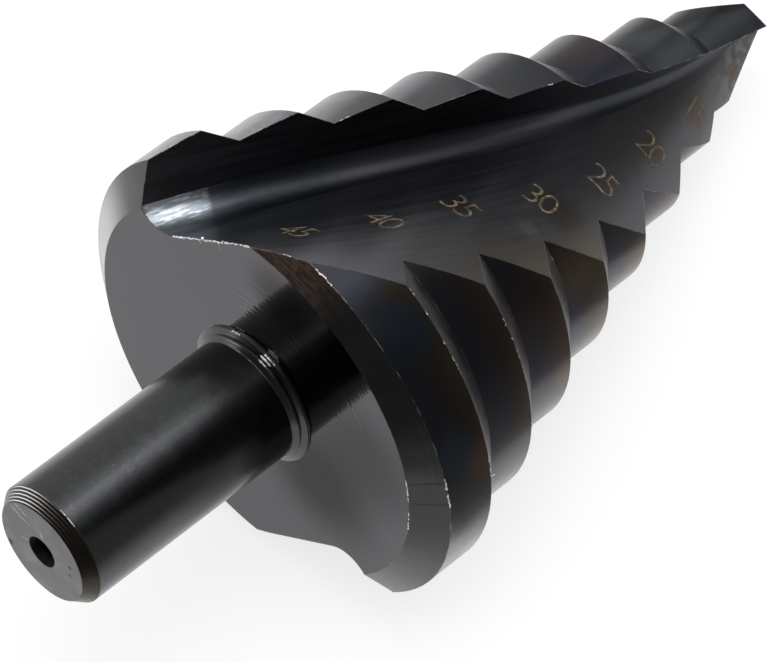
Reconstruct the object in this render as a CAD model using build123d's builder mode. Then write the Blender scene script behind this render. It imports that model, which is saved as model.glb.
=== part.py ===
from build123d import *
import os
from math import atan2, cos, radians, sin, tan

os.makedirs("parts", exist_ok=True)

# A step drill with two spiral flutes, ground from one bar of high-speed steel. It is
# shaped standing on its shank, with its axis on Z, the back face of the stepped cone at
# Z = 0 and the point up. At the end it is laid down on its side, as it comes to rest.
# Lengths are millimetres and angles are degrees.

# The stepped cone: eight lands, each 5 mm smaller across than the one before it
largest_diameter = 45.0
smallest_diameter = 10.0
step_count = 8
step_pitch = 7.607
shoulder_length = 2.5
first_land_length = 5.54
tip_land_length = 6.6
rear_chamfer_length = 2.3
rear_chamfer_depth = 3.4

# The relief of each land: it is ground about an axis that stands off the drill's own
# axis and leans a little, so the land falls away behind its cutting edge; the land at
# the point falls away less
cam_offset = 0.72
tip_cam_offset = 0.12
cam_lean = 2.1
cam_lead = 12.0
cam_turn = 184.0

# The two flutes: the spiral quickens and the web thins toward the point
rear_lead = 350.0
tip_lead = 190.0
rear_web = 33.0
tip_web = 2.3
web_taper = 1.08
rake_hook = 7.0
rear_root_radius = 3.0
tip_root_radius = 1.0
wall_slope = 11.0
rear_wall_flat = 9.2
tip_wall_flat = 0.4
flat_taper = 1.5
rear_heel_radius = 25.5
tip_heel_radius = 5.5
heel_sweep = 60.0
flute_stations = 11

# The split point
point_angle = 118.0
lip_relief = 19.0
notch_slope = 60.0
notch_start = 0.6
notch_skew = 28.0

# The shank, with its end chamfer, its centre hole and the two-lipped ring at its root
shank_diameter = 12.0
shank_length = 25.0
end_chamfer_length = 1.2
end_chamfer_depth = 0.95
centre_hole_diameter = 2.4
centre_hole_depth = 3.2
centre_hole_flare = 0.4
ring_length = 1.1
outer_lip_rise = 0.98
outer_lip_edge = 0.2
inner_lip_rise = 0.5
lip_groove = 0.2

# How far a cutter runs past the steel, how far a shoulder or the root ring sinks into the
# steel it meets, and how near the line it tips about a corner can be without counting as
# the next one down
overrun = 3.0
shoulder_sink = 0.5
hinge_margin = 0.5

step_drop = (largest_diameter - smallest_diameter) / (step_count - 1) / 2
land_length = step_pitch - shoulder_length
first_corner = rear_chamfer_length + first_land_length
tip_corner = first_corner + (step_count - 2) * step_pitch + shoulder_length + tip_land_length
tip_radius = smallest_diameter / 2
apex = tip_corner + tip_radius / tan(radians(point_angle / 2))
up = Vector(0, 0, 1)


def across(angle):
    """Unit vector across the drill's axis."""
    return Vector(cos(radians(angle)), sin(radians(angle)), 0)


def edge_angle(height):
    """Angle round the axis of the first cutting edge."""
    quickening = (1 / tip_lead - 1 / rear_lead) * height**2 / (2 * tip_corner)
    return 360 * (height / rear_lead + quickening)


def taper(height, rear_value, tip_value, power=1.0):
    """A size that changes from the back face to the corner of the point."""
    left = max(1 - height / tip_corner, 0)
    return tip_value + (rear_value - tip_value) * left**power


def mean_radius(height):
    """Radius of the plain cone that runs midway through the steps."""
    first_land = rear_chamfer_length + first_land_length / 2
    radius = largest_diameter / 2 - (height - first_land) * step_drop / step_pitch
    return min(max(radius, tip_radius), largest_diameter / 2)


def flute_section(height):
    """Section of the flute's cutter: rake face, root, flat wall and rounded heel."""
    far = largest_diameter / 2 + overrun
    half_web = taper(height, rear_web, tip_web, web_taper) / 2
    root_radius = taper(height, rear_root_radius, tip_root_radius)
    flat = taper(height, rear_wall_flat, tip_wall_flat, flat_taper)
    heel_radius = taper(height, rear_heel_radius, tip_heel_radius)
    root_run = root_radius / tan(radians((90 + wall_slope - rake_hook) / 2))
    hook = tan(radians(rake_hook))
    rake_outer = Vector(far, hook * (far - mean_radius(height)))
    root = Vector(half_web, hook * (half_web - mean_radius(height)))
    wall_run = across(90 + wall_slope)
    wall_end = root + wall_run * (root_run + flat)
    with BuildSketch(Plane(up * height, across(edge_angle(height)), up)) as section:
        with BuildLine():
            FilletPolyline(rake_outer, root, wall_end, radius=root_radius)
            heel = JernArc(wall_end, wall_run, heel_radius, heel_sweep)
            runout = Line(heel @ 1, heel @ 1 + (heel % 1) * largest_diameter / 4)
            Polyline(runout @ 1, (far, (runout @ 1).Y), rake_outer)
        make_face()
    return section.sketch


def land_section(step, offset, plane):
    """Half section of one land and the shoulder ahead of it, measured from its front."""
    radius = largest_diameter / 2 - step * step_drop - offset * cos(radians(cam_lead))
    rear = -first_land_length - overrun
    inner = radius - step_drop - shoulder_sink
    rise = shoulder_length * (1 + shoulder_sink / step_drop)
    if step == step_count - 1:
        rear = -tip_land_length - overrun
        inner = radius
        rise = 2 * tip_radius
    with BuildSketch(plane) as section:
        with BuildLine():
            Polyline((0, rear), (radius, rear), (radius, 0), (inner, rise), (0, rise), close=True)
        make_face()
    return section.sketch


def overhung_pair(touching, centre, down):
    """Two of three touching corners that the centre of mass lies beyond, if there are any."""
    for third in touching:
        first, second = [corner for corner in touching if corner is not third]
        outward = (second - first).cross(down)
        if outward.dot(third - first) > 0:
            outward = -outward
        if outward.dot(centre - first) > 0:
            return [first, second]
    return []


def settle(corners, centre, down):
    """The direction that points down once the body has tipped over to a stable rest."""
    touching = [max(corners, key=lambda corner: corner.dot(down))]
    while touching:
        pivot = touching[0]
        fall = centre - pivot
        fall -= down * fall.dot(down)
        if len(touching) == 2:
            hinge = (touching[1] - pivot).normalized()
            fall -= hinge * fall.dot(hinge)
        fall = fall.normalized()
        turns = []
        for corner in corners:
            reach = (corner - pivot).dot(fall)
            clearance = (pivot - corner).dot(down)
            if reach > hinge_margin and corner not in touching:
                turns.append((atan2(clearance, reach), corner))
        turn, landed = min(turns, key=lambda pair: pair[0])
        down = down * cos(turn) + fall * sin(turn)
        touching.append(landed)
        if len(touching) == 3:
            touching = overhung_pair(touching, centre, down)
    return down


# The cutter that leaves one flute
with BuildPart() as flute:
    for station in range(flute_stations):
        height = -overrun + (apex + 2 * overrun) * station / (flute_stations - 1)
        add(flute_section(height))
    loft()

with BuildPart() as drill:
    # The lands and shoulders, two to each step, each turned about its own leaning axis
    for step in range(step_count):
        front = first_corner + step * step_pitch
        offset = cam_offset
        if step == step_count - 1:
            front = tip_corner
            offset = tip_cam_offset
        seam = edge_angle(front - land_length / 2) + cam_lead
        corner_radius = largest_diameter / 2 - step * step_drop
        rise = corner_radius * tan(radians(cam_lean)) * cos(radians(cam_lead))
        for side in (0, 180):
            outward = across(seam + side)
            centre = outward * offset + up * (front - rise)
            upright = Plane(origin=centre, x_dir=outward, z_dir=outward.cross(up))
            leaning = upright.rotated((0, 0, cam_lean))
            add(land_section(step, offset, leaning))
            revolve(axis=Axis(leaning.origin, -leaning.y_dir), revolution_arc=cam_turn)

    # The back face and the rear chamfer, turned true to the drill's axis
    with BuildSketch(Plane.XZ):
        rim = largest_diameter / 2 - rear_chamfer_depth
        spread = rear_chamfer_depth / rear_chamfer_length * 2 * overrun
        with BuildLine():
            Polyline(
                (0, 0),
                (rim, 0),
                (rim + spread, 2 * overrun),
                (largest_diameter, 2 * overrun),
                (largest_diameter, -3 * overrun),
                (0, -3 * overrun),
                close=True,
            )
        make_face()
    revolve(axis=Axis.Z, mode=Mode.SUBTRACT)

    # The two flutes
    add(flute.part, mode=Mode.SUBTRACT)
    add(flute.part.rotate(Axis.Z, 180), mode=Mode.SUBTRACT)

    # The split point: the flank behind each lip, then the notch that runs out to the heel
    for side in (0, 180):
        lip_angle = edge_angle(tip_corner) + side
        lip = across(lip_angle) - up / tan(radians(point_angle / 2))
        relief = across(lip_angle - 90) - up * tan(radians(lip_relief))
        split(bisect_by=Plane(up * apex, lip, relief.cross(lip)), keep=Keep.BOTTOM)
        crest = lip + relief * tan(radians(notch_skew))
        notch = across(lip_angle - 90) - up * tan(radians(notch_slope))
        start = up * apex + relief * notch_start
        split(bisect_by=Plane(start, crest, notch.cross(crest)), keep=Keep.BOTTOM)

    # The shank, its end chamfer and the ring of two lips where it meets the back face
    with BuildSketch(Plane.XZ):
        shank_radius = shank_diameter / 2
        with BuildLine():
            Polyline(
                (0, overrun),
                (0, -shank_length),
                (shank_radius - end_chamfer_depth, -shank_length),
                (shank_radius, -shank_length + end_chamfer_length),
                (shank_radius, -ring_length),
                (shank_radius + inner_lip_rise, -2 * ring_length / 3),
                (shank_radius + inner_lip_rise - lip_groove, -ring_length / 2),
                (shank_radius + outer_lip_rise, -outer_lip_edge),
                (shank_radius + outer_lip_rise, shoulder_sink),
                (shank_radius, shoulder_sink),
                (shank_radius, overrun),
                close=True,
            )
        make_face()
    revolve(axis=Axis.Z)

    # The centre hole in the end of the shank
    with BuildSketch(Plane.XZ):
        hole_radius = centre_hole_diameter / 2
        with BuildLine():
            Polyline(
                (0, -shank_length),
                (hole_radius + centre_hole_flare, -shank_length),
                (hole_radius, -shank_length + 2 * centre_hole_flare),
                (hole_radius, -shank_length + centre_hole_depth),
                (0, -shank_length + centre_hole_depth + hole_radius / 2),
                close=True,
            )
        make_face()
    revolve(axis=Axis.Z, mode=Mode.SUBTRACT)

# Let go with its first flute down, it tips onto one corner of that flute's heel and the
# cutting corners of two middle steps, with the shank and the point clear of the floor
corners = [Vector(*vertex) for vertex in drill.part.vertices()]
down = settle(corners, drill.part.center(), across(edge_angle(tip_corner / 2)))
ahead = up - down * up.dot(down)
laid = Plane(origin=(0, 0, 0), x_dir=ahead, z_dir=-down).to_local_coords(drill.part)
box = laid.bounding_box()

with BuildPart() as step_drill:
    add(laid.moved(Location((-box.center().X, -box.center().Y, -box.min.Z))))

step_drill.part.label = "step_drill"
export_step(step_drill.part, "parts/step_drill.step")
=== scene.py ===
# %% [markdown]
# # A step drill
# This notebook dresses a step drill: one piece of hardened steel, blackened, with eight
# relieved steps, two spiral flutes and a plain shank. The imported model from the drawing
# office comes in first as a fixed frame. It already has the exact shape and size, so the
# work here is what a drawing leaves out: the finish of each ground surface, the bright
# burrs along its edges, the marked sizes, and the light that it is seen in.

# %% Load the frame
import math
import random

import bmesh
import bpy
from mathutils import Matrix, Vector
from mathutils.bvhtree import BVHTree


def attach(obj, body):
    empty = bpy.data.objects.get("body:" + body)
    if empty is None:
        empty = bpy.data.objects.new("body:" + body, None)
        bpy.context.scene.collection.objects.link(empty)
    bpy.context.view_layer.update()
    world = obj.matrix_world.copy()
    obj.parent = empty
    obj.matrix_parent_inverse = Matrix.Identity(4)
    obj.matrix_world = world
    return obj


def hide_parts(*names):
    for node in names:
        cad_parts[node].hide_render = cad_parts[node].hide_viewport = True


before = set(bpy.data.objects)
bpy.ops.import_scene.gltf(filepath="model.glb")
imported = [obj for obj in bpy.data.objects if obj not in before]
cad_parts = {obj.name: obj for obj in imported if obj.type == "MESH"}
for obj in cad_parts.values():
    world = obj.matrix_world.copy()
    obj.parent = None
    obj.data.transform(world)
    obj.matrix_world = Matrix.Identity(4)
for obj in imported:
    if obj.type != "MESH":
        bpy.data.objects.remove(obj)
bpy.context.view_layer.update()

random.seed(45)
drill_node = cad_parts["step_drill"]

# %% [markdown]
# ## The camera
# The picture was taken with a long lens from above and behind, looking along the drill
# toward its point. A camera can be placed by eye, or found from points whose true place
# is known. Here the marked sizes gave those points: the cutting corners and the back rim.

# %% Place the camera
millimetre = 0.001
camera_data = bpy.data.cameras.new("camera")
camera_data.lens = 223.92
camera_data.sensor_width = 36
camera_data.clip_start = 0.01
camera = bpy.data.objects.new("camera", camera_data)
camera.location = (-0.131895, -0.179979, 0.380000)
camera.rotation_euler = [math.radians(angle) for angle in (30.4243, 5.9229, -45.2863)]
bpy.context.scene.collection.objects.link(camera)
bpy.context.scene.camera = camera
print("camera at", [round(value, 3) for value in camera.location])

# %% [markdown]
# ## The drill's own axes
# The drill lies tilted on its heel and two cutting corners, but every finish on it
# follows its own axis: grinding marks run round it and the flutes wind about it. So a
# matrix is made that turns the drill's own millimetres, with its back face at height 0
# and its point up, into the room's metres. The same step is done in a material with a
# Mapping node, which is given the matrix's place and turn.

# %% Find the drill's axes
back_centre = Vector((-19.36657, 0.0, 20.61349)) * millimetre
axis_line = Vector((0.97903215, 0.0, -0.20370579))
first_edge_line = Vector((-0.13784026, -0.73629245, -0.66247527))
turned = Matrix((first_edge_line, axis_line.cross(first_edge_line), axis_line)).transposed()
to_room = Matrix.Translation(back_centre) @ turned.to_4x4() @ Matrix.Scale(millimetre, 4)
to_drill = to_room.inverted()
point_corner = 62.5
lead_at_back = 350
lead_at_point = 190
quickening = (1 / lead_at_point - 1 / lead_at_back) / (2 * point_corner)
print("the drill leans down by", round(math.degrees(math.asin(-axis_line.z)), 2), "degrees")


def edge_turn(height):
    """How far the first cutting edge has turned at this height, in radians."""
    return math.tau * (height / lead_at_back + height**2 * quickening)


# %% [markdown]
# ## The skin and its surfaces
# Each ground surface has its own finish, so each face has to know which surface it is
# part of. The frame's mesh is loose along every edge of the drawing, so its connected
# patches are exactly those surfaces. They could be picked by hand in edit mode. Here
# they are told apart by where they lie and which way they face, once they are unwound
# by the turn of the flute at their height. The patches are found on a copy, before its
# doubles are merged, and the frame's own mesh is left as it is. The copy takes over the
# frame's corner normals, so that the merged skin still shades like the true surfaces.

# %% Find the patches
def patches_of(mesh):
    """The faces of each connected patch of a bmesh."""
    left = set(mesh.faces)
    found = []
    while left:
        front = [left.pop()]
        patch = []
        while front:
            face = front.pop()
            patch.append(face)
            near = {other for edge in face.edges for other in edge.link_faces}
            front.extend(near & left)
            left -= near
        found.append(patch)
    return found


def patch_facts(patch):
    """The centre and mean normal of a patch, in the drill's own axes."""
    area = sum(face.calc_area() for face in patch)
    centre = sum((face.calc_center_median() * face.calc_area() for face in patch), Vector())
    normal = sum((face.normal * face.calc_area() for face in patch), Vector())
    return to_drill @ (centre / area), turned.transposed() @ (normal / area)


# %% Name the turned surfaces
near_axis = 0.5
ring_depth = -2
shank_depth = -20
end_depth = -24


def turned_surface(centre, normal):
    """The name of a surface that goes all the way round, so that its centre is on the axis."""
    if centre.z > -0.05:
        return "back_face"
    if centre.z > ring_depth:
        return "root_ring"
    if centre.z > shank_depth:
        return "shank"
    if normal.z < -0.95:
        return "end_face"
    if centre.z < end_depth and normal.z < -0.6:
        return "end_chamfer"
    return "centre_hole"


# %% Name the ground surfaces
rake_facing = 80
root_facing = 42
heel_facing = 20
point_height = 61


def flute_surface(centre, normal):
    """The name of a surface of a flute, by the way it faces when it is unwound."""
    side = Vector((centre.x, centre.y)).angle_signed(Vector((1, 0)))
    facing = math.atan2(normal.y, normal.x) - edge_turn(centre.z)
    if math.cos(side - edge_turn(centre.z)) < 0:
        facing -= math.pi
    facing = math.degrees(facing) % 360
    if facing > rake_facing:
        return "rake_face"
    if facing > root_facing:
        return "flute_root"
    return "heel_wall" if facing > heel_facing else "flute_wall"


def surface_of(centre, normal):
    """The name of the ground surface that a patch is."""
    across = Vector((centre.x, centre.y))
    if across.length < near_axis:
        return turned_surface(centre, normal)
    if centre.z > point_height and normal.z > 0.4:
        return "point_flank"
    if normal.z > 0.65:
        return "shoulder"
    if normal.z < -0.7:
        return "rear_chamfer"
    outward = across.normalized().dot(Vector((normal.x, normal.y)).normalized())
    if abs(normal.z) < 0.1 and outward > 0.9:
        return "land"
    return flute_surface(centre, normal)


surfaces = [
    "shank", "end_face", "end_chamfer", "centre_hole", "root_ring", "back_face",
    "rear_chamfer", "land", "shoulder", "rake_face", "flute_root", "flute_wall",
    "heel_wall", "point_flank",
]

# %% Copy the mesh and sort its faces
skin_mesh = bmesh.new()
skin_mesh.from_mesh(drill_node.data)
patch_layer = skin_mesh.faces.layers.int.new("patch")
for number, patch in enumerate(patches_of(skin_mesh)):
    name = surface_of(*patch_facts(patch))
    for face in patch:
        face.material_index = surfaces.index(name)
        face.smooth = True
        face[patch_layer] = number
for index, name in enumerate(surfaces):
    print(name, sum(1 for face in skin_mesh.faces if face.material_index == index), "faces")

# %% Keep the exact normals
finest = 1e-7


def corner_key(number, place):
    """What tells corners apart: the patch, and the place to a tenth of a micrometre."""
    return (number, *(round(value / finest) for value in place))


patch_numbers = [face[patch_layer] for face in skin_mesh.faces]
loose = drill_node.data
exact_normals = {}
for polygon in loose.polygons:
    for corner in polygon.loop_indices:
        place = loose.vertices[loose.loops[corner].vertex_index].co
        key = corner_key(patch_numbers[polygon.index], place)
        exact_normals[key] = loose.corner_normals[corner].vector.copy()
print(len(exact_normals), "corner normals kept")

# %% Build the skin
bmesh.ops.remove_doubles(skin_mesh, verts=skin_mesh.verts, dist=finest)
open_edges = sum(1 for edge in skin_mesh.edges if not edge.is_manifold)
print("skin:", len(skin_mesh.faces), "faces and", open_edges, "open edges")
skin_data = bpy.data.meshes.new("drill_skin")
skin_mesh.to_mesh(skin_data)
patches = skin_data.attributes["patch"].data
corner_normals = []
for polygon in skin_data.polygons:
    for corner in polygon.loop_indices:
        place = skin_data.vertices[skin_data.loops[corner].vertex_index].co
        key = corner_key(patches[polygon.index].value, place)
        corner_normals.append(exact_normals[key])
skin_data.normals_split_custom_set(corner_normals)
skin = bpy.data.objects.new("drill_skin", skin_data)
bpy.context.scene.collection.objects.link(skin)
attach(skin, "root")
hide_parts("step_drill")

# %% [markdown]
# ## Sums in a material
# A finish is a net of nodes. Wired by hand in the shader editor it soon becomes hard to
# read, so here a socket is wrapped in a small class whose plus and times signs add the
# Math nodes. Every other kind of node comes from one method, which is told the node's
# type, its settings, and what goes into its sockets.

# %% Wires and finishes
class Wire:
    """The output of a node, ready to be used in a sum."""

    def __init__(self, finish, socket):
        self.finish = finish
        self.socket = socket

    def sum(self, operation, first, second):
        return self.finish.node("ShaderNodeMath", {"operation": operation}, {0: first, 1: second})

    def __add__(self, other):
        return self.sum("ADD", self, other)

    def __radd__(self, other):
        return self.sum("ADD", other, self)

    def __sub__(self, other):
        return self.sum("SUBTRACT", self, other)

    def __rsub__(self, other):
        return self.sum("SUBTRACT", other, self)

    def __mul__(self, other):
        return self.sum("MULTIPLY", self, other)

    def __rmul__(self, other):
        return self.sum("MULTIPLY", other, self)

    def __truediv__(self, other):
        return self.sum("DIVIDE", self, other)


class Finish:
    """A material, with a method that adds nodes to it."""

    def __init__(self, name):
        self.material = bpy.data.materials.new(name)
        self.material.use_nodes = True
        self.tree = self.material.node_tree
        self.shader = self.tree.nodes["Principled BSDF"]

    def feed(self, socket, value):
        """Links a wire to a socket, or writes a plain value on it."""
        if isinstance(value, Wire):
            self.tree.links.new(value.socket, socket)
        else:
            socket.default_value = value

    def node(self, kind, settings, sockets, output=0):
        """A new node: its settings, the values or wires of its sockets, and which output."""
        made = self.tree.nodes.new(kind)
        for key, value in settings.items():
            if key == "stops":
                for index, (place, colour) in enumerate(value):
                    elements = made.color_ramp.elements
                    stop = elements[index] if index < 2 else elements.new(place)
                    stop.position = place
                    stop.color = (*colour, 1)
            else:
                setattr(made, key, value)
        for key, value in sockets.items():
            self.feed(made.inputs[key], value)
        return Wire(self, made.outputs[output])


# %% Helpers for patterns
def soft_step(value, low, high):
    """0 below low, 1 above high, and smooth between them; low may be the larger."""
    settings = {"interpolation_type": "SMOOTHSTEP"}
    sockets = {0: value, 1: low, 2: high, 3: 0.0, 4: 1.0}
    if low > high:
        sockets.update({1: high, 2: low, 3: 1.0, 4: 0.0})
    return value.finish.node("ShaderNodeMapRange", settings, sockets)


def vector_sum(operation, first, second, output=0):
    """One Vector Math node."""
    settings = {"operation": operation}
    return first.finish.node("ShaderNodeVectorMath", settings, {0: first, 1: second}, output)


def vector_length(vector):
    """The length of a vector."""
    settings = {"operation": "LENGTH"}
    return vector.finish.node("ShaderNodeVectorMath", settings, {0: vector}, output=1)


def cloud(point, scale, detail=3.0, stretch=(1, 1, 1)):
    """Noise from 0 to 1; stretch says how fast it changes along each axis."""
    stretched = vector_sum("MULTIPLY", point, stretch)
    sockets = {"Vector": stretched, "Scale": scale, "Detail": detail}
    return point.finish.node("ShaderNodeTexNoise", {}, sockets)


def rings(distance, scale, detail=2.0):
    """Noise from 0 to 1 that changes only with a distance: turning marks."""
    settings = {"noise_dimensions": "1D"}
    sockets = {"W": distance, "Scale": scale, "Detail": detail}
    return distance.finish.node("ShaderNodeTexNoise", settings, sockets)


def tint(amount, first, second):
    """Goes from the first colour to the second as amount goes from 0 to 1."""
    sockets = {0: amount}
    for socket, colour in (6, first), (7, second):
        sockets[socket] = (*colour, 1) if isinstance(colour, tuple) else colour
    return amount.finish.node("ShaderNodeMix", {"data_type": "RGBA"}, sockets, output=2)


def spot(point, centre, radius):
    """1 in the middle of a soft round patch on the drill, falling to 0 at its radius."""
    away = vector_sum("DISTANCE", point, centre, output=1)
    return soft_step(away, radius, radius * 0.2)


def stained_or_shaded(colour, point, blotches):
    """Lays soft round stains or painted light on a colour, each with a centre, radius, strength
    and tone.
    """
    for centre, radius, strength, tone in blotches:
        colour = tint(spot(point, centre, radius) * strength, colour, tone)
    return colour


def scratch(point, start, end, width):
    """1 along a straight scratch on the drill, and 0 beside it."""
    start, end = Vector(start), Vector(end)
    length, way = (end - start).length, (end - start).normalized()
    from_start = vector_sum("SUBTRACT", point, start)
    along = vector_sum("DOT_PRODUCT", from_start, way, output=1)
    away = vector_length(vector_sum("CROSS_PRODUCT", from_start, way))
    inside = soft_step(away, width, width * 0.3)
    return inside * soft_step(along, 0, 0.5) * soft_step(along, length, length - 0.5)


def scratches(point, lines):
    """1 along any of several scratches, each with a start, an end and a width."""
    return sum(scratch(point, *line) for line in lines)


# %% [markdown]
# ## Places on the drill
# Grinding marks on the back face are rings about the axis, and the marks in a flute run
# along its spiral. One Mapping node brings a point into the drill's own axes, and a
# Vector Rotate node then turns it back by as much as the cutting edge has turned at its
# height. After that a flute is straight, so noise stretched along it runs with the steel.

# %% Coordinates in a material
def drill_point(finish):
    """The place on the drill, in millimetres on its own axes."""
    place = finish.node("ShaderNodeTexCoord", {}, {}, output=3)
    settings = {"vector_type": "TEXTURE"}
    sockets = {"Vector": place, "Location": back_centre, "Rotation": turned.to_euler()}
    sockets["Scale"] = (millimetre,) * 3
    return finish.node("ShaderNodeMapping", settings, sockets)


def height_of(point):
    """How far a place is along the axis, toward the point."""
    return point.finish.node("ShaderNodeSeparateXYZ", {}, {0: point}, output=2)


def away_from_axis(point):
    """How far a place is from the axis."""
    return vector_length(vector_sum("MULTIPLY", point, (1, 1, 0)))


cone_radius_at_back = 24.0
cone_slope = 0.325
cone_length_unit = 22.0
print("the cone thins by", 2 * cone_slope, "mm across for each mm of height")


def cone_radius(height):
    """The radius of the cone that holds the steps, at this height."""
    return cone_radius_at_back - height * cone_slope


def unwound(point, height):
    """The place with the flute's spiral taken out; across, as a share of the cone's radius."""
    turn = (height * height * quickening + height * (1 / lead_at_back)) * -math.tau
    sockets = {"Vector": point, "Angle": turn}
    straight = point.finish.node("ShaderNodeVectorRotate", {"rotation_type": "Z_AXIS"}, sockets)
    shares = vector_sum("DIVIDE", straight, (1, 1, cone_length_unit))
    cone = cone_radius(height)
    divisor = point.finish.node("ShaderNodeCombineXYZ", {}, {0: cone, 1: cone, 2: 1.0})
    return vector_sum("DIVIDE", shares, divisor)


# %% [markdown]
# ## Blackened steel
# Ground high-speed steel is bright. Steam or a hot salt bath gives it a thin black oxide,
# which stays as smooth as the steel under it: it is still a metal, but it gives back less
# than a tenth of the light. So its Metallic is 1, the base colour is dark, and the look
# comes from what it reflects. The Bevel node rounds the shading at the edges, and what it
# changes tells where an edge is, so that the worn steel can show there.

# %% What every ground surface shares
bare_steel = (0.46, 0.455, 0.46)


def worn_edges(point, width, amount):
    """The rounded normal, and how much bare steel shows: only along edges, in broken lines."""
    finish = point.finish
    rounded = finish.node("ShaderNodeBevel", {"samples": 4}, {"Radius": width * millimetre})
    facing = finish.node("ShaderNodeNewGeometry", {}, {}, output=1)
    edge = 1 - vector_sum("DOT_PRODUCT", rounded, facing, output=1)
    broken = soft_step(cloud(point, 0.9, 4.0), 0.72 - amount * 0.5, 0.86 - amount * 0.5)
    return rounded, soft_step(edge, 0.02, 0.12) * broken


def blackened(point, colour, roughness, relief, depth, edge):
    """Closes a finish: relief has a depth in mm, and edge is how wide and how much worn."""
    finish = point.finish
    rounded, worn = worn_edges(point, *edge)
    shader = finish.shader
    shader.inputs["Metallic"].default_value = 1.0
    finish.feed(shader.inputs["Base Color"], tint(worn, colour, bare_steel))
    finish.feed(shader.inputs["Roughness"], worn * 0.2 + roughness)
    sockets = {"Height": relief, "Distance": depth * millimetre, "Normal": rounded}
    finish.feed(shader.inputs["Normal"], finish.node("ShaderNodeBump", {}, sockets))
    return finish.material


# %% [markdown]
# ## The shank and its end
# The shank is turned and polished before it is blackened, and a chuck's jaws have rubbed
# it. The end face is flat and grey with fine scratches, its chamfer shows the grooves of
# the turning tool, and the centre hole is nearly black. Grooves and rubbing could be
# modelled, but they are a hundredth of a millimetre deep, so a bump does them.

# %% Shank and root ring finishes
def shank_finish():
    point = drill_point(Finish("shank"))
    height = height_of(point)
    rubbed = cloud(point, 0.4, 5.0, (1, 1, 2.2))
    fine = cloud(point, 3.0, 4.0)
    colour = tint(soft_step(rubbed, 0.4, 0.7), (0.074, 0.075, 0.082), (0.076, 0.084, 0.080))
    colour = tint(soft_step(fine, 0.54, 0.70) * 0.35, colour, (0.13, 0.142, 0.136))
    # Painted shade: a dark band of painted reflection along the shank's low side, and a round
    # patch of painted shade near its root.
    painted_dark_band = scratch(point, (0.9, -5.9, -26.0), (0.9, -5.9, -1.0), 3.5)
    colour = tint(painted_dark_band * 0.9, colour, (0.012, 0.012, 0.013))
    colour = tint(spot(point, (4.4, -4.0, -7.0), 10.0) * 0.75, colour, (0.024, 0.024, 0.026))
    colour = tint(soft_step(height, -9, -2), colour, (0.052, 0.052, 0.056))
    roughness = rubbed * 0.14 + fine * 0.06 + 0.13
    return blackened(point, colour, roughness, fine, 0.003, (0.15, 0.35))


def root_ring_finish():
    point = drill_point(Finish("root_ring"))
    lips = rings(away_from_axis(point) + height_of(point), 5.0, 0.0)
    # Painted highlight: bright strokes on the ring's lips where it catches the light.
    rub_or_painted_highlight = spot(point, (-5.6, -3.7, -0.4), 2.2) * 0.5
    colour = tint(rub_or_painted_highlight * soft_step(lips, 0.47, 0.56), (0.066, 0.064, 0.070), (0.30, 0.29, 0.30))
    return blackened(point, colour, 0.16 + lips * 0.08, lips, 0.006, (0.10, 0.15))


finishes = {"shank": shank_finish(), "root_ring": root_ring_finish()}
print("made:", ", ".join(finishes))

# %% Finishes of the shank's end
end_scratches = [
    ((-5.0, 0.6, -25), (-3.0, -0.3, -25), 0.17),
    ((-5.1, -0.3, -25), (-3.4, -1.1, -25), 0.15),
    ((-3.5, -0.3, -25), (-2.4, -0.6, -25), 0.10),
    ((-2.1, -1.9, -25), (-1.0, -1.3, -25), 0.14),
    ((-1.2, 1.0, -25), (-1.7, 2.2, -25), 0.10),
]
end_pits = [((1.75, -3.2, -25), 0.3), ((2.5, -2.4, -25), 0.25), ((-1.3, 4.5, -25), 0.5)]


def end_finish():
    point = drill_point(Finish("end_face"))
    blotches = cloud(point, 0.5, 3.0)
    grain = cloud(point, 2.5, 5.0, (4.0, 1.0, 1))
    colour = tint(soft_step(blotches, 0.35, 0.7), (0.178, 0.172, 0.178), (0.225, 0.218, 0.222))
    hole_rim = soft_step(away_from_axis(point), 1.75, 1.25)
    colour = tint(hole_rim, colour, (0.03, 0.028, 0.028))
    marks = scratches(point, end_scratches)
    pits = sum(spot(point, centre, radius) for centre, radius in end_pits)
    colour = tint(marks * soft_step(grain, 0.3, 0.6), colour, (0.55, 0.55, 0.56))
    colour = tint(pits, colour, (0.02, 0.02, 0.02))
    return blackened(point, colour, 0.32 + grain * 0.2, grain - marks * 2.0, 0.006, (0.12, 0.6))


def end_chamfer_finish():
    point = drill_point(Finish("end_chamfer"))
    grooves = height_of(point) * 26.0 + cloud(point, 0.8, 2.0) * 1.5
    grooves = grooves.sum("SINE", grooves, 0.0)
    # Painted light: the grooves on the lit side are painted bright as a highlight, and the low
    # side is painted paler as a sheen.
    lit_side = spot(point, (-5.2, -1.9, -24.4), 4.4)
    painted_sheen_low = spot(point, (4.0, 3.0, -24.4), 4.5)
    colour = tint(cloud(point, 0.9, 3.0), (0.030, 0.026, 0.022), (0.062, 0.050, 0.036))
    colour = tint(painted_sheen_low, colour, (0.13, 0.12, 0.115))
    colour = tint(lit_side * soft_step(grooves, 0.35, 0.85), colour, (0.80, 0.79, 0.82))
    return blackened(point, colour, 0.30 + grooves * 0.05, grooves, 0.008, (0.10, 0.4))


def centre_hole_finish():
    point = drill_point(Finish("centre_hole"))
    # Nearly black, with a mottled tone.
    dark_mottle = cloud(point, 1.6, 4.0)
    colour = tint(dark_mottle, (0.008, 0.007, 0.008), (0.035, 0.030, 0.032))
    return blackened(point, colour, 0.5 + dark_mottle * 0.2, dark_mottle, 0.03, (0.12, 0.3))


finishes["end_face"] = end_finish()
finishes["end_chamfer"] = end_chamfer_finish()
finishes["centre_hole"] = centre_hole_finish()
print("finishes so far:", ", ".join(finishes))

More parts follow.
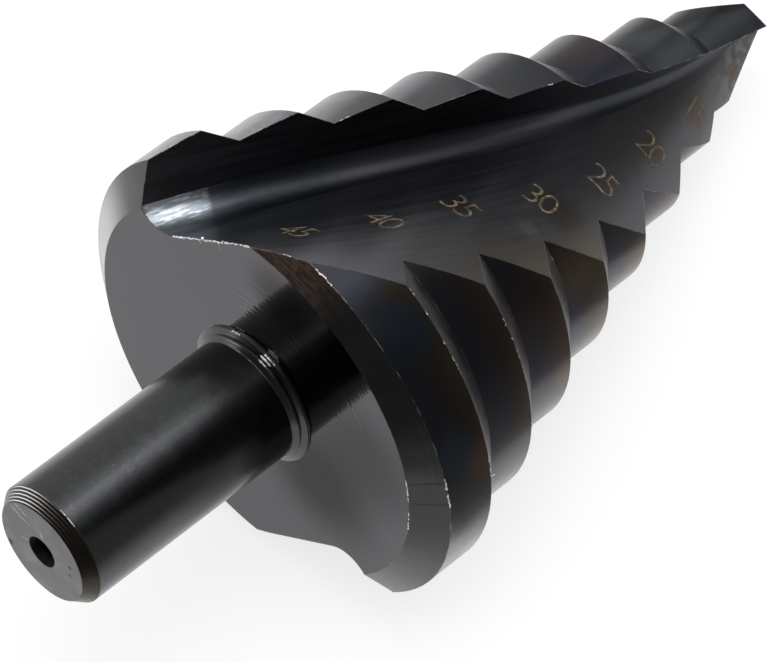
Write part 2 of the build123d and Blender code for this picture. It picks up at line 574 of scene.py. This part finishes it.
# %% [markdown]
# ## The back face and the rear chamfer
# Both are turned while the drill spins between centres, so their marks are rings. The
# back face is a satin mirror in which the shank is seen, with a slightly wavy edge, and dark
# patches of painted shade beside the shank. The chamfer is darker, with two faint dark
# scratches, and brown where it has rubbed on work; a painted sheen lightens its left side and
# painted shade darkens its low side.

# %% Back face finish
# Painted shade: dark patches on the back face where the shank's shadow and dark reflection fall.
painted_back_shade_tone = (0.009, 0.006, 0.008)
back_painted_shade = [
    ((9.2, -2.4, 0.0), 9.5, 0.95, painted_back_shade_tone),
    ((7.5, -11.5, 0.0), 9.5, 0.65, painted_back_shade_tone),
    ((-8.3, -13.2, 0.0), 5.0, 0.8, painted_back_shade_tone),
]


def back_finish():
    point = drill_point(Finish("back_face"))
    fine = rings(away_from_axis(point), 2.3, 0.0)
    haze = cloud(point, 0.14, 3.0)
    dust = cloud(point, 1.2, 5.0)
    colour = tint(haze, (0.074, 0.070, 0.077), (0.088, 0.083, 0.090))
    colour = tint(soft_step(dust, 0.62, 0.8) * 0.4, colour, (0.082, 0.072, 0.073))
    colour = stained_or_shaded(colour, point, back_painted_shade)
    nick = scratch(point, (-14.9, -8.9, 0), (-13.6, -8.2, 0), 0.12)
    colour = tint(nick * 0.5, colour, (0.2, 0.2, 0.2))
    beside_shank = spot(point, (-7.0, -9.0, 0.0), 7.0) + spot(point, (1.5, -15.0, 0.0), 5.5)
    relief = fine * (beside_shank * 0.85 + 0.16)
    return blackened(point, colour, 0.06 + haze * 0.05, relief, 0.018, (0.14, 0.35))


finishes["back_face"] = back_finish()
# The dark patches counted here are painted shade.
print("the back face has", len(back_painted_shade), "dark stains")

# %% Rear chamfer finish
# Painted light: a pale painted sheen on the chamfer's left side, and painted shade on its low
# side.
chamfer_painted_light = [
    ((-16.0, 11.0, 0.8), 9.5, 1.0, (0.42, 0.415, 0.42)),
    ((14.5, -14.5, 1.2), 8.0, 0.7, (0.042, 0.040, 0.042)),
]
chamfer_scratches = [
    ((10.2, -15.6, 0.0), (11.9, -18.9, 2.4), 0.34),
    ((12.4, -14.6, 0.2), (14.1, -17.4, 2.4), 0.26),
]


def chamfer_finish():
    point = drill_point(Finish("rear_chamfer"))
    away = away_from_axis(point)
    marks = rings(away, 3.4, 1.0)
    dirt = cloud(point, 0.3, 5.0)
    colour = tint(soft_step(dirt, 0.4, 0.65), (0.062, 0.059, 0.062), (0.074, 0.070, 0.072))
    colour = stained_or_shaded(colour, point, chamfer_painted_light)
    strokes = cloud(point, 1.2, 5.0, (1, 1, 3.0)) * 0.6 + rings(away, 5.0, 1.0) * 0.4
    rub_or_painted_highlight = spot(point, (-10.9, -16.6, 0.6), 6.8) * (soft_step(strokes, 0.42, 0.56) * 0.6 + 0.35)
    colour = tint(rub_or_painted_highlight, colour, (0.285, 0.185, 0.145))
    faint = scratches(point, chamfer_scratches)
    colour = tint(faint * 0.6, colour, (0.02, 0.02, 0.02))
    roughness = 0.17 + dirt * 0.1 + marks * 0.05
    return blackened(point, colour, roughness, marks - faint, 0.007, (0.14, 0.5))


finishes["rear_chamfer"] = chamfer_finish()
print("the chamfer has", len(chamfer_scratches), "scratches")

# %% [markdown]
# ## The lands and shoulders
# Steel that grows hot in a cut takes on temper colours, and the thin oxide shows them
# faintly: blue and purple at the back of each land, brown and straw at its front. So the
# ramp is driven by how far along its step a point lies, with some slow noise. The colours
# fade toward the cutting edge, where the land is rubbed to a clean grey. The shoulders do
# the cutting, so their oxide is thinner and greyer too.

# %% Colours of the lands
first_corner = 7.84
step_pitch = 7.607
temper_colours = [
    (0.25, (0.056, 0.054, 0.064)),
    (0.45, (0.050, 0.050, 0.068)),
    (0.60, (0.062, 0.050, 0.050)),
    (0.78, (0.086, 0.066, 0.050)),
    (0.95, (0.112, 0.098, 0.072)),
]
clean_by_height = [
    (14, 20, (0.115, 0.114, 0.120)),
    (24, 42, (0.044, 0.048, 0.053)),
    (46, 51, (0.088, 0.098, 0.104)),
]
clean_stains = [
    ((-8.1, -5.7, 44.0), 4.0, 0.7, (0.078, 0.054, 0.062)),
    ((-6.0, -7.9, 42.0), 3.2, 0.7, (0.046, 0.052, 0.080)),
]
land_stains = [
    ((-1.4, -21.5, 4.1), 4.2, 0.8, (0.040, 0.066, 0.092)),
    ((-6.6, -20.2, 3.0), 3.0, 0.8, (0.056, 0.066, 0.080)),
    ((-5.0, -20.9, 6.6), 2.2, 0.7, (0.060, 0.052, 0.034)),
    ((11.9, -18.6, 6.6), 3.0, 0.8, (0.120, 0.078, 0.052)),
    ((9.9, -19.5, 3.6), 3.2, 0.8, (0.048, 0.070, 0.090)),
    ((4.8, -12.9, 26.8), 4.6, 0.6, (0.150, 0.108, 0.066)),
    ((5.2, -15.5, 19.0), 4.2, 0.55, (0.088, 0.054, 0.038)),
]
print("the lands have", len(temper_colours), "temper colours and", len(land_stains), "blotches")


# %% Land finish
def behind_edge(point, height):
    """How far a place is off the line through both cutting edges, as a share of the radius."""
    sockets = {0: unwound(point, height)}
    behind = point.finish.node("ShaderNodeSeparateXYZ", {}, sockets, output=1)
    return behind.sum("ABSOLUTE", behind, 0.0)


def land_finish():
    point = drill_point(Finish("land"))
    height = height_of(point)
    step_share = (height - first_corner) / step_pitch
    step_share = step_share.sum("FRACT", step_share, 0.0)
    heat = step_share * 0.8 + cloud(point, 0.16, 2.0) * 0.5 - 0.14
    temper = point.finish.node("ShaderNodeValToRGB", {"stops": temper_colours}, {0: heat})
    clean = (0.200, 0.197, 0.200)
    for low, high, tone in clean_by_height:
        clean = tint(soft_step(height, low, high), clean, tone)
    rubbed = soft_step(cloud(point, 0.25, 3.0), 0.45, 0.7)
    clean = tint(rubbed * 0.7, clean, (0.070, 0.068, 0.094))
    clean = stained_or_shaded(clean, point, clean_stains)
    satin = tint(step_share, (0.050, 0.050, 0.059), (0.062, 0.057, 0.055))
    behind = behind_edge(point, height)
    clean = tint(soft_step(behind, 0.50, 0.70), clean, satin)
    colour = tint(soft_step(behind, 0.78, 0.95), clean, temper)
    colour = stained_or_shaded(colour, point, land_stains)
    marks = rings(height, 7.0, 2.0)
    smears = cloud(point, 0.4, 2.0, (1, 1, 2.0))
    return blackened(point, colour, 0.18 + smears * 0.12, marks, 0.0007, (0.12, 0.45))


# %% Shoulder finish
def shoulder_finish():
    point = drill_point(Finish("shoulder"))
    marks = rings(away_from_axis(point), 6.0, 2.0)
    rubbed = cloud(point, 0.45, 4.0)
    colour = tint(soft_step(rubbed, 0.35, 0.7), (0.098, 0.090, 0.092), (0.145, 0.135, 0.138))
    colour = tint(soft_step(height_of(point), 40, 56), colour, (0.095, 0.098, 0.102))
    return blackened(point, colour, 0.26 + rubbed * 0.16, marks, 0.003, (0.12, 0.45))


finishes["land"] = land_finish()
finishes["shoulder"] = shoulder_finish()
print(len(finishes), "finishes so far")

# %% [markdown]
# ## The flutes
# A grinding wheel runs down each flute, so its marks follow the spiral. The rake face is
# nearly black. The root carries a painted highlight at the back, streaked like brushing, with
# painted glints, and a painted sheen further along it. The wall behind it is a blue-grey satin
# that carries the step numbers, with a painted highlight at its lower rear. Toward the heel it
# has an olive cast, brown hazes lie beside the numbers, and near the point it is rubbed. The
# noise is read in unwound places and stretched along them, so that it lies along the flute
# like the marks of the wheel. One function makes a base for all of these surfaces and for
# the point, and two more add what only the root or only the walls have.

# %% What the flute's root has
def root_painted_highlight(colour, point, height, straight, streaks):
    """Adds a painted sheen along the root, and a painted highlight with glints at its back end."""
    painted_sheen_band = soft_step(height, 13, 19) * soft_step(height, 44, 36)
    colour = tint(painted_sheen_band * 0.8, colour, (0.068, 0.068, 0.082))
    painted_highlight_streak = scratch(point, (-18.9, 0.5, 0.0), (-16.6, -1.2, 5.6), 2.3)
    painted_highlight_streak = painted_highlight_streak * soft_step(height, 6.6, 3.0)
    colour = tint(painted_highlight_streak * (streaks * 0.8 + 0.15), colour, (0.46, 0.51, 0.57))
    painted_glints = soft_step(cloud(straight, 70.0, 4.0, (1, 1, 0.2)), 0.50, 0.64)
    return tint(painted_highlight_streak * painted_glints * 0.7, colour, (0.80, 0.84, 0.88))


# %% What the flute's walls have
# The pale patch at the wall's lower rear is a painted highlight, where the root's highlight runs
# onto the wall.
painted_highlight_rear = ((-12.8, -10.6, 3.7), 3.2, 0.7, (0.165, 0.168, 0.190))
brown_haze = (0.072, 0.054, 0.040)
pale_rub = ((-0.25, -13.1, 24.7), 1.5, 0.6, (0.19, 0.182, 0.18))
wall_stains_and_highlight = [
    painted_highlight_rear,
    ((-5.0, -11.1, 21.1), 1.9, 0.8, brown_haze),
    ((0.9, -11.2, 29.6), 3.4, 0.8, brown_haze),
    ((2.7, -5.8, 44.5), 2.3, 0.8, brown_haze),
    ((3.0, -3.2, 52.2), 2.6, 0.8, brown_haze),
    ((2.8, -0.9, 59.6), 2.8, 0.8, brown_haze),
    pale_rub,
]
print("the walls have", len(wall_stains_and_highlight), "blotches")


def wall_marks_and_highlight(colour, point, height):
    """Adds the olive cast at the heel, the pale lower rear, the stains, a painted highlight at the
    rear and the rubbed tip.
    """
    share = away_from_axis(point) / cone_radius(height)
    haze = soft_step(cloud(point, 0.16, 3.0), 0.2, 0.55)
    near_heel = soft_step(share, 0.72, 0.98) * soft_step(height, 8, 16) * soft_step(height, 37, 28)
    colour = tint(near_heel * haze * 0.9, colour, (0.122, 0.104, 0.074))
    low_rear = soft_step(share, 0.66, 0.9) * soft_step(height, 10, 2)
    colour = tint(low_rear * 0.8, colour, (0.125, 0.125, 0.140))
    colour = stained_or_shaded(colour, point, wall_stains_and_highlight)
    rubbed = soft_step(height, 54, 62) * soft_step(cloud(point, 0.8, 5.0), 0.42, 0.62)
    return tint(rubbed * 0.5, colour, (0.20, 0.197, 0.197))


# %% Flute finishes
def flute_finish(name, dark, light, far, near_point, fading, shine):
    """A finish that goes from dark with light streaks at the back to two tones further on."""
    point = drill_point(Finish(name))
    height = height_of(point)
    straight = unwound(point, height)
    streaks = cloud(straight, 30.0, 5.0, (1, 1, 0.06))
    brushed = cloud(straight, 110.0, 2.0, (1, 1, 0.04))
    colour = tint(soft_step(streaks, 0.35, 0.66), dark, light)
    colour = tint(soft_step(height + streaks * 8.0, *fading), colour, far)
    colour = tint(soft_step(height, 42, 56), colour, near_point)
    if name == "flute_root":
        colour = root_painted_highlight(colour, point, height, straight, streaks)
    if name in ("flute_wall", "heel_wall"):
        colour = wall_marks_and_highlight(colour, point, height)
    roughness = shine + streaks * 0.12 + brushed * 0.08
    return blackened(point, colour, roughness, streaks * 0.6 + brushed, 0.003, (0.12, 0.4))


wall_far = (0.080, 0.080, 0.086)
wall_near_point = (0.078, 0.078, 0.083)
dark_near_point = (0.048, 0.050, 0.055)
near_fading, far_fading = (4.5, 12), (28, 48)
flute_tones = {
    "rake_face": {
        "dark": (0.030, 0.030, 0.033), "light": (0.044, 0.044, 0.050),
        "far": (0.066, 0.068, 0.074), "near_point": dark_near_point,
        "fading": far_fading, "shine": 0.20,
    },
    "flute_root": {
        # At the root's back end its dark and light tones are a painted highlight, fading out by
        # near_fading.
        "dark": (0.095, 0.110, 0.124), "light": (0.190, 0.212, 0.236),
        "far": (0.032, 0.037, 0.043), "near_point": dark_near_point,
        "fading": near_fading, "shine": 0.25,
    },
    "flute_wall": {
        "dark": (0.082, 0.087, 0.106), "light": (0.112, 0.118, 0.136),
        "far": wall_far, "near_point": wall_near_point,
        "fading": far_fading, "shine": 0.25,
    },
    "heel_wall": {
        "dark": (0.086, 0.090, 0.104), "light": (0.116, 0.118, 0.130),
        "far": wall_far, "near_point": wall_near_point,
        "fading": far_fading, "shine": 0.25,
    },
    "point_flank": {
        "dark": (0.14, 0.135, 0.13), "light": (0.25, 0.25, 0.25),
        "far": (0.20, 0.20, 0.20), "near_point": dark_near_point,
        "fading": far_fading, "shine": 0.22,
    },
}
for name, tones in flute_tones.items():
    finishes[name] = flute_finish(name, **tones)
for name in surfaces:
    skin_data.materials.append(finishes[name])
print(len(skin_data.materials), "finishes on the skin")

# %% [markdown]
# ## The step numbers
# Each step's size is marked on the flute wall beside it, from 45 down to 10, in thin
# strokes that cut into the oxide and left it tan. They could be drawn in the material,
# but a text object is simpler and its strokes stay sharp. Each digit is made a mesh, cut
# by a grid so that it can bend, laid on the wall, and has a little thickness.

# %% Places of the digits
digit_places = [
    ("45", (-12.03, -9.86, 6.06), (-11.47, -11.56, 6.18)),
    ("40", (-8.61, -11.03, 13.38), (-7.77, -12.43, 13.49)),
    ("35", (-5.53, -10.45, 21.15), (-4.48, -11.70, 21.11)),
    ("30", (-1.77, -10.20, 28.68), (-0.33, -10.92, 29.03)),
    ("25", (0.85, -8.29, 36.59), (2.26, -8.62, 36.78)),
    ("20", (1.88, -5.75, 44.39), (3.47, -5.84, 44.53)),
    ("15", (2.30, -3.42, 52.05), (3.80, -3.05, 52.30)),
    ("10", (2.10, -1.20, 59.40), (3.50, -0.62, 59.70)),
]
digit_height = 2.75
font_size = 3.0
stroke_thinning = -0.051
stroke_thickness = 0.02
stroke_sinking = 0.005
drop_height = 3
print(len(digit_places), "numbers,", digit_height, "mm high")


# %% Make a digit
def gridded(shape, spacing, reach):
    """Cuts a flat mesh along a square grid, with so many lines to each side."""
    cut = bmesh.new()
    cut.from_mesh(shape)
    for axis in (Vector((1, 0, 0)), Vector((0, 1, 0))):
        for line in range(-reach, reach + 1):
            parts = cut.verts[:] + cut.edges[:] + cut.faces[:]
            place = axis * (line * spacing)
            bmesh.ops.bisect_plane(cut, geom=parts, plane_co=place, plane_no=axis)
    cut.to_mesh(shape)
    cut.free()


def digit_mesh(figure):
    """A thin solid digit, centred, flat on X and Y, in millimetres."""
    text = bpy.data.curves.new("digit", "FONT")
    text.body = figure
    text.align_x = "CENTER"
    text.align_y = "CENTER"
    text.size = font_size
    text.offset = stroke_thinning
    text.extrude = stroke_thickness
    text.resolution_u = 6
    holder = bpy.data.objects.new("digit", text)
    shape = bpy.data.meshes.new_from_object(holder)
    bpy.data.objects.remove(holder)
    gridded(shape, spacing=0.2, reach=8)
    low = [min(vertex.co[axis] for vertex in shape.vertices) for axis in (0, 1)]
    high = [max(vertex.co[axis] for vertex in shape.vertices) for axis in (0, 1)]
    stretch = digit_height / (high[1] - low[1])
    for vertex in shape.vertices:
        vertex.co.x = (vertex.co.x - (high[0] + low[0]) / 2) * stretch
        vertex.co.y = (vertex.co.y - (high[1] + low[1]) / 2) * stretch
    return shape


# %% Lay a digit on the wall
skin_tree = BVHTree.FromObject(skin, bpy.context.evaluated_depsgraph_get())


def lay_on_wall(shape, middle, reading):
    """Moves a flat mesh onto the flute wall, around a middle and along a reading line."""
    spot_on_wall, normal, _, _ = skin_tree.find_nearest(to_room @ Vector(middle))
    outward = normal.normalized()
    across = turned @ Vector(reading)
    across = (across - outward * across.dot(outward)).normalized()
    upward = outward.cross(across)
    for vertex in shape.vertices:
        flat = (across * vertex.co.x + upward * vertex.co.y) * millimetre
        above = spot_on_wall + flat + outward * drop_height * millimetre
        hit, facing, _, _ = skin_tree.ray_cast(above, -outward)
        vertex.co = hit + facing * (vertex.co.z - stroke_sinking) * millimetre


# %% Mark the numbers
def stroke_finish():
    point = drill_point(Finish("marked_strokes"))
    faded = cloud(point, 1.6, 4.0)
    dull = soft_step(height_of(point), 34, 52)
    clear = soft_step(faded + dull * 0.1, 0.62, 0.38)
    colour = tint(clear, (0.085, 0.064, 0.044), (0.30, 0.225, 0.135))
    colour = tint(dull * 0.75, colour, (0.115, 0.092, 0.066))
    shader = point.finish.shader
    point.finish.feed(shader.inputs["Base Color"], colour)
    point.finish.feed(shader.inputs["Roughness"], 0.45 + faded * 0.2)
    shader.inputs["Metallic"].default_value = 0.35
    return point.finish.material


strokes = stroke_finish()
for label, *middles in digit_places:
    reading = Vector(middles[1]) - Vector(middles[0])
    number_mesh = bmesh.new()
    for figure, middle in zip(label, middles):
        shape = digit_mesh(figure)
        lay_on_wall(shape, middle, reading)
        number_mesh.from_mesh(shape)
        bpy.data.meshes.remove(shape)
    bmesh.ops.remove_doubles(number_mesh, verts=number_mesh.verts, dist=finest)
    bmesh.ops.recalc_face_normals(number_mesh, faces=number_mesh.faces)
    number_data = bpy.data.meshes.new("step_number_" + label)
    number_mesh.to_mesh(number_data)
    number_mesh.free()
    number = bpy.data.objects.new("step_number_" + label, number_data)
    number_data.materials.append(strokes)
    bpy.context.scene.collection.objects.link(number)
    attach(number, "root")
    print("step", label, "has", len(number_data.polygons), "faces")

# %% [markdown]
# ## Burrs
# Grinding pushes a thread of bright steel over some edges, and it stands there in ragged
# scraps. A worn line in the material can't break the outline, so these are geometry: the
# edge's own points are followed by a curve whose thickness jumps about, with gaps, and
# now and then a short spur stands off it. The edges are found on the skin, as the chains
# of points between two kinds of surface. A chain runs from one loose end to the other,
# or once round where it is a ring, as at the end of the shank.

# %% Follow the edges between surfaces
def seam_points(first, second):
    """The chains of points along the edges where two kinds of surface meet."""
    wanted = {surfaces.index(first), surfaces.index(second)}
    links = {}
    for edge in skin_mesh.edges:
        if {face.material_index for face in edge.link_faces} == wanted:
            for vertex in edge.verts:
                links.setdefault(vertex, []).append(edge.other_vert(vertex))
    chains = []
    ends = [vertex for vertex in links if len(links[vertex]) == 1] or list(links)[:1]
    while ends:
        chain = [ends.pop()]
        while len(chain) == 1 or chain[-1] != chain[0]:
            onward = [vertex for vertex in links[chain[-1]] if vertex not in chain[-2:]]
            if not onward:
                break
            chain.append(onward[0])
        if chain[-1] in ends:
            ends.remove(chain[-1])
        chains.append([vertex.co.copy() for vertex in chain])
    return chains


# %% Cut the edges into scraps
walk_step = 0.14
spur_reach = 0.16
thinnest, thickest = 0.25, 1.5


def walked_along(chain):
    """The points of a chain, with more between them so that they lie close together."""
    walked = []
    for start, end in zip(chain, chain[1:]):
        pieces = max(int((end - start).length / (walk_step * millimetre)), 1)
        walked.extend(start.lerp(end, step / pieces) for step in range(pieces))
    return walked


def scraps_of(chain, kept, centre, reach, least, longest, spurs):
    """Some of a chain's scraps: near a centre, far enough from the axis, kept by chance."""
    walked = walked_along(chain)
    scraps = []
    place = 0
    while place < len(walked):
        length = random.randint(3, longest)
        scrap = walked[place:place + length]
        place += length
        near = (scrap[0] - centre).length < reach * millimetre
        outside = (to_drill @ scrap[0]).xy.length > least
        if near and outside and random.random() < kept and len(scrap) > 2:
            scraps.append(scrap)
            if random.random() < spurs:
                sideways = Vector(random.gauss(0, spur_reach) for _ in range(3)) * millimetre
                scraps.append([scrap[1], scrap[1] + sideways * 0.5, scrap[1] + sideways])
    return scraps


# %% Make a thread of scraps
def burr_thread(
    name, chains, thickness, kept, middle=(0, 0, 0), reach=200.0, least=0.0,
    shaking=0.03, longest=12, spurs=0.3,
):
    """Ragged threads of steel along chains of points, of a thickness in mm.

    Kept is the share of the scraps that stay. They lie within reach of a middle, and at
    least so far from the axis.
    """
    curve = bpy.data.curves.new(name, "CURVE")
    curve.dimensions = "3D"
    curve.bevel_depth = 0.5 * thickness * millimetre
    curve.bevel_resolution = 1
    curve.use_fill_caps = True
    centre = to_room @ Vector(middle)
    scraps = []
    for chain in chains:
        scraps.extend(scraps_of(chain, kept, centre, reach, least, longest, spurs))
    for scrap in scraps:
        spline = curve.splines.new("POLY")
        spline.points.add(len(scrap) - 1)
        for point, spot_here in zip(spline.points, scrap):
            shake = Vector(random.gauss(0, shaking) for _ in range(3)) * millimetre
            point.co = (*(spot_here + shake), 1)
            point.radius = random.uniform(thinnest, thickest)
    holder = bpy.data.objects.new(name, curve)
    shape = bpy.data.meshes.new_from_object(holder)
    bpy.data.objects.remove(holder)
    piece = bpy.data.objects.new(name, shape)
    piece.data.materials.append(burr_steel)
    bpy.context.scene.collection.objects.link(piece)
    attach(piece, "root")
    print(name, len(scraps), "scraps,", len(shape.polygons), "faces")


# %% Finish of the burrs
def burr_finish():
    point = drill_point(Finish("burr_steel"))
    sparkle = cloud(point, 6.0, 3.0)
    shader = point.finish.shader
    shader.inputs["Metallic"].default_value = 1.0
    colour = tint(sparkle, (0.72, 0.72, 0.72), (1.0, 1.0, 1.0))
    point.finish.feed(shader.inputs["Base Color"], colour)
    point.finish.feed(shader.inputs["Roughness"], 0.35 + sparkle * 0.2)
    return point.finish.material


burr_steel = burr_finish()
print("the burrs are made of", burr_steel.name)

# %% Burrs round the back
back_edge = seam_points("back_face", "flute_wall") + seam_points("back_face", "heel_wall")
burr_thread("burr_back_edge", back_edge, 0.16, 0.95, (-14.8, -7.4, 0), 9.0)
heel_edge = seam_points("rear_chamfer", "heel_wall") + seam_points("rear_chamfer", "flute_wall")
burr_thread("burr_chamfer_heel", heel_edge, 0.09, 0.2, (-14.0, -14.0, 1.0), 6.0)
rim = seam_points("rear_chamfer", "land")
burr_thread("burr_rim_heel", rim, 0.14, 0.85, (-9.4, -19.0, 2.4), 2.6)
burr_thread("burr_rim_low", rim, 0.14, 0.7, (13.3, -17.5, 2.6), 2.2)
back_rim = seam_points("back_face", "rear_chamfer")
burr_thread("burr_back_rim", back_rim, 0.09, 0.25, (12.9, -13.9, 0), 3.2)

# %% Burrs on the steps and the shank's end
step_edge = seam_points("land", "shoulder")
burr_thread("burr_first_step", step_edge, 0.09, 0.45, (-1.4, -21.4, 7.6), 7.0, 20.6, longest=5)
burr_thread("burr_second_step", step_edge, 0.08, 0.3, (6.0, -18.0, 15.4), 4.4, 18.0, longest=4)
burr_thread("burr_third_step", step_edge, 0.08, 0.6, (4.8, -13.9, 24.4), 1.8, longest=4)
cutting_edge = seam_points("land", "rake_face")
burr_thread("burr_cutting_edges", cutting_edge, 0.08, 0.04, longest=4, spurs=0)
shank_edge = seam_points("shank", "end_chamfer")
burr_thread(
    "burr_shank_end", shank_edge, 0.10, 1.0, (-3.1, -5.0, -23.8), 0.9, shaking=0.008, spurs=0,
)
burr_thread("burr_first_low", step_edge, 0.11, 0.8, (13.6, -17.4, 7.0), 1.2, longest=5)
burr_thread(
    "burr_second_low", step_edge, 0.10, 1.0, (14.0, -13.6, 14.7), 0.6, longest=4, spurs=1,
)

# %% Paint highlights on the ring
def ring_arc(radius, height, first_turn, last_turn, steps=12):
    """A chain of points part of the way round the drill's axis, in the room."""
    chain = []
    for step in range(steps + 1):
        turn = math.radians(first_turn + (last_turn - first_turn) * step / steps)
        on_ring = Vector((radius * math.cos(turn), radius * math.sin(turn), height))
        chain.append(to_room @ on_ring)
    return chain


# Bright steel strokes on the ring's lips: painted highlights where the ring catches the light.
painted_highlight_arcs = [
    ring_arc(6.99, -0.22, -155, -145),
    ring_arc(6.99, -0.20, -121, -109),
    ring_arc(6.80, -0.46, -123, -111),
    ring_arc(6.52, -0.72, -122, -113),
]
burr_thread("painted_highlight_ring", painted_highlight_arcs, 0.20, 1.0, shaking=0.004, longest=24, spurs=0)

# %% [markdown]
# ## Floor, light and cards
# The drill lies on a white floor under a large soft lamp. Blackened steel shows only what
# it mirrors, so what stands round it matters as much as the lamp: the white room makes its
# pale sheen, dark cards on the right and on the camera's own side give the deep tones, and
# a bright one on the left and a pale one at the back light the flute and the upper lands.
# Only mirrors see the cards. The room and the floor are a plain white to the camera and to
# mirrors, and dimmer to everything else, so the floor keeps its soft shadow.

# %% Lay the floor
def seen_directly(finish):
    """1 for what the camera, a mirror or clear glass sees, and 0 for other light."""
    seen = 0
    for ray in ("Is Camera Ray", "Is Glossy Ray", "Is Transmission Ray"):
        seen = finish.node("ShaderNodeLightPath", {}, {}, output=ray) + seen
    return seen.sum("MINIMUM", seen, 1.0)


floor_glow = 0.735
floor_mesh = bmesh.new()
bmesh.ops.create_grid(floor_mesh, x_segments=1, y_segments=1, size=2.0)
floor_data = bpy.data.meshes.new("floor")
floor_mesh.to_mesh(floor_data)
floor_mesh.free()
floor = bpy.data.objects.new("floor", floor_data)
bpy.context.scene.collection.objects.link(floor)
white = Finish("floor_white")
white.shader.inputs["Base Color"].default_value = (0.44, 0.43, 0.44, 1)
white.shader.inputs["Roughness"].default_value = 1.0
white.shader.inputs["Specular IOR Level"].default_value = 0.0
white.shader.inputs["Emission Color"].default_value = (1, 1, 1, 1)
white.feed(white.shader.inputs["Emission Strength"], seen_directly(white) * floor_glow)
floor_data.materials.append(white.material)
print("the floor is", [round(side, 2) for side in floor.dimensions[:2]], "m across")

# %% Light the room
class Room(Finish):
    """The world, which takes nodes in the same way as a material."""

    def __init__(self, name):
        self.world = bpy.data.worlds.new(name)
        self.world.use_nodes = True
        self.tree = self.world.node_tree
        self.shader = self.tree.nodes["Background"]


room_glow = 0.55
room_glow_seen = 1.02
room = Room("white_room")
room.shader.inputs["Color"].default_value = (1, 1, 1, 1)
more_seen = seen_directly(room) * (room_glow_seen - room_glow)
room.feed(room.shader.inputs["Strength"], more_seen + room_glow)
scene = bpy.context.scene
scene.world = room.world
scene.view_settings.view_transform = "Standard"
drill_middle = Vector((0, 0, 0.02))


def soft_lamp(name, place, size, glow):
    """A square lamp that looks at the drill; glow is how bright its face is."""
    lamp = bpy.data.lights.new(name, "AREA")
    lamp.shape = "RECTANGLE"
    lamp.size, lamp.size_y = size
    lamp.energy = math.pi * size[0] * size[1] * glow
    holder = bpy.data.objects.new(name, lamp)
    holder.location = place
    toward_drill = drill_middle - Vector(place)
    holder.rotation_euler = toward_drill.to_track_quat("-Z", "Y").to_euler()
    scene.collection.objects.link(holder)
    print(name, "gives", round(lamp.energy, 3), "W")


soft_lamp("top_lamp", (0.06, -0.04, 0.52), (0.38, 0.38), 1.7)

# %% Bend a card
def card_mesh_of(name, radius, height, first_turn, last_turn, lean):
    """A strip that stands upright, or leans out, and is spun about the middle."""
    first_turn, last_turn = math.radians(first_turn), math.radians(last_turn)
    strip = bmesh.new()
    facing = Matrix.Rotation(-first_turn, 3, "Z")
    low = strip.verts.new(facing @ Vector((0, radius - lean, 0)))
    high = strip.verts.new(facing @ Vector((0, radius, height)))
    edge = strip.edges.new((low, high))
    bmesh.ops.spin(
        strip, geom=[low, high, edge], axis=(0, 0, 1), cent=(0, 0, 0), steps=24,
        angle=first_turn - last_turn, use_merge=False, use_duplicate=False,
    )
    card_data = bpy.data.meshes.new(name)
    strip.to_mesh(card_data)
    strip.free()
    return card_data


# %% Stand the cards
foot_height = 0.03


def card_paper(name, height, low_grey, high_grey, foot_grey):
    """Paper that glows by itself: paler toward its top and, if asked, at its foot."""
    paper = Finish(name)
    paper.shader.inputs["Base Color"].default_value = (0, 0, 0, 1)
    paper.shader.inputs["Specular IOR Level"].default_value = 0.0
    paper.shader.inputs["Emission Color"].default_value = (1, 1, 1, 1)
    place = paper.node("ShaderNodeTexCoord", {}, {}, output=3)
    level = paper.node("ShaderNodeSeparateXYZ", {}, {0: place}, output=2)
    grey = soft_step(level, height * 0.35, height) * (high_grey - low_grey) + low_grey
    grey = soft_step(level, foot_height, 0.0) * foot_grey + grey
    paper.feed(paper.shader.inputs["Emission Strength"], grey)
    return paper.material


def stand_card(name, radius, height, turns, greys, foot_grey=0.0, lean=0.0):
    """A curved card about the drill that only mirrors see."""
    card_data = card_mesh_of(name, radius, height, *turns, lean)
    card_data.materials.append(card_paper(name, height, *greys, foot_grey))
    card = bpy.data.objects.new(name, card_data)
    scene.collection.objects.link(card)
    card.visible_camera = False
    card.visible_diffuse = False
    card.visible_shadow = False
    print(name, "stands", radius, "m away and is", height, "m high")


stand_card("far_flag", 0.240, 0.26, (50, 132), (0.16, 0.5))
stand_card("dark_flag", 0.062, 0.15, (126, 205), (0.12, 0.55), foot_grey=0.27, lean=0.032)
stand_card("side_flag", 0.085, 0.18, (200, 302), (0.12, 0.5), foot_grey=0.18)
stand_card("bright_card", 0.150, 0.10, (302, 350), (1.15, 1.15))
stand_card("pale_back", 0.152, 0.24, (345, 422), (0.68, 0.6))

# %% Finish
skin_mesh.free()
